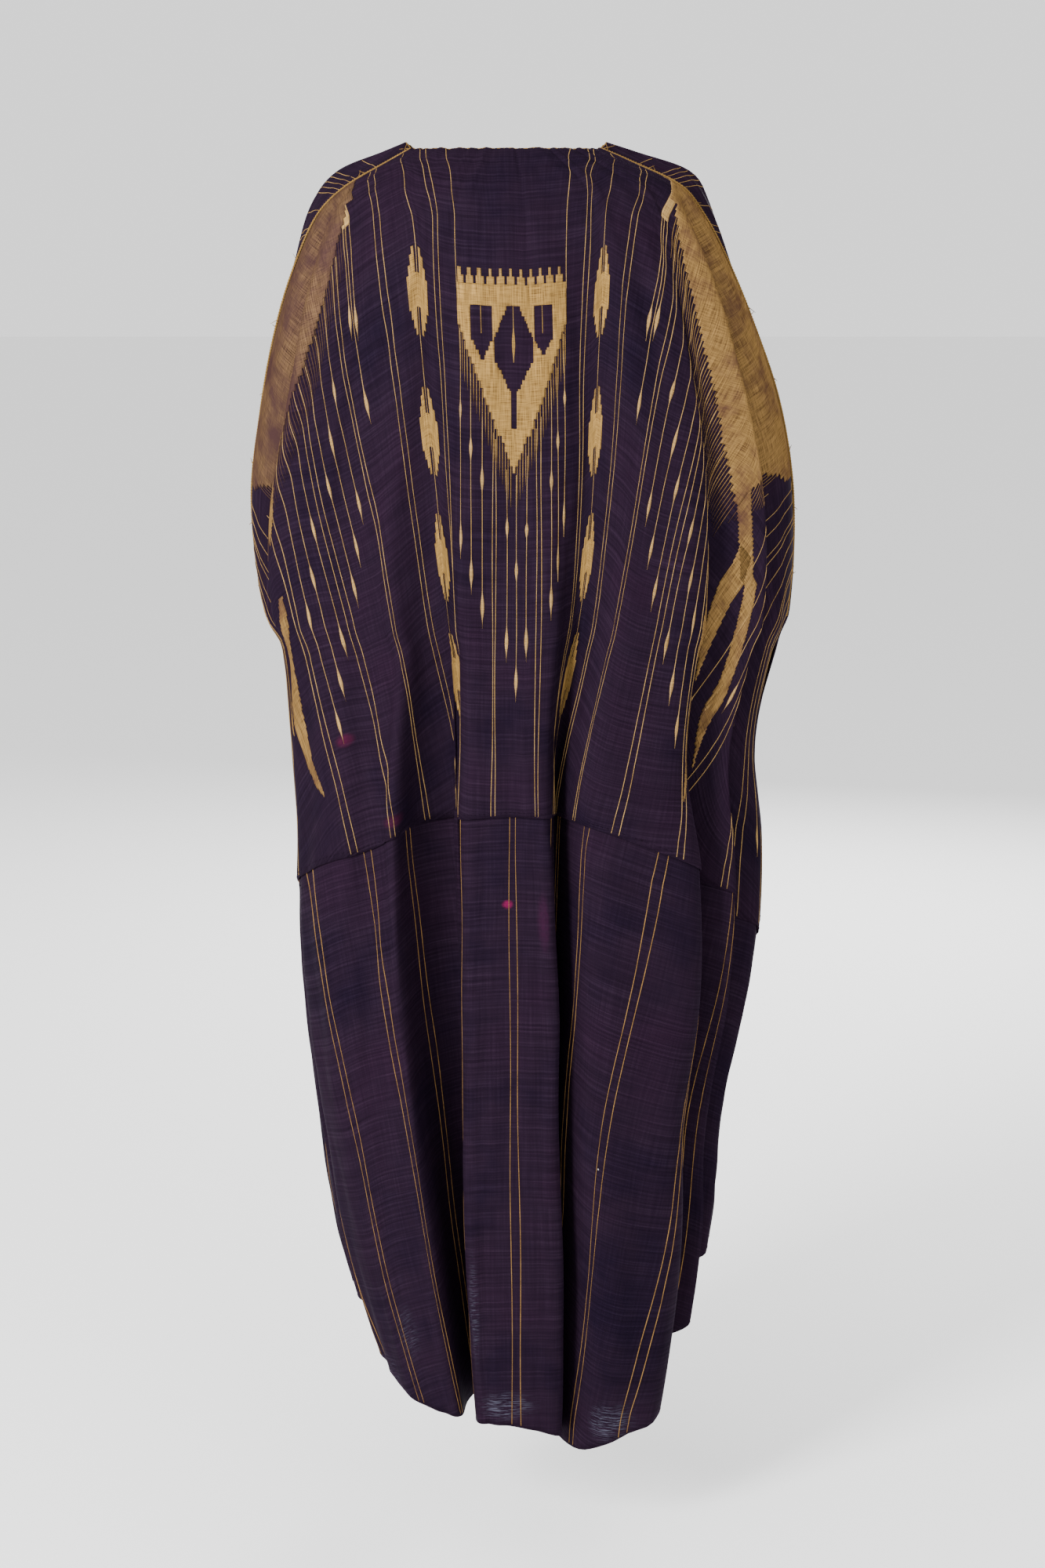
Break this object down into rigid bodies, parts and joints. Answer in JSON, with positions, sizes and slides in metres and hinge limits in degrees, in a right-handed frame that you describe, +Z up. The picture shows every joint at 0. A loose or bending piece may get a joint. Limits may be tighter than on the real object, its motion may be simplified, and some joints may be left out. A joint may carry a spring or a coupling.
{
  "type": "aba robe",
  "caption": "Wide open-fronted silk robe of two loom widths, worn over the shoulders, with gold tapestry weave, hand slits at the side folds and deep hanging folds.",
  "frame": {"origin": "middle of the neck opening, at the height where the robe lies on the wearer's shoulders", "axes": "+Z up, +Y towards the wearer's front, +X towards the wearer's right as the back is looked at from behind"},
  "size_m": [0.5925, 0.3472, 1.3978],
  "materials": {
    "silk": "satin",
    "gold_thread": "satin"
  },
  "bodies": {
    "root": {"upper_width": "silk", "lower_width": "silk", "left_shoulder_cord": "gold_thread", "right_shoulder_cord": "gold_thread"}
  },
  "joints": []
}
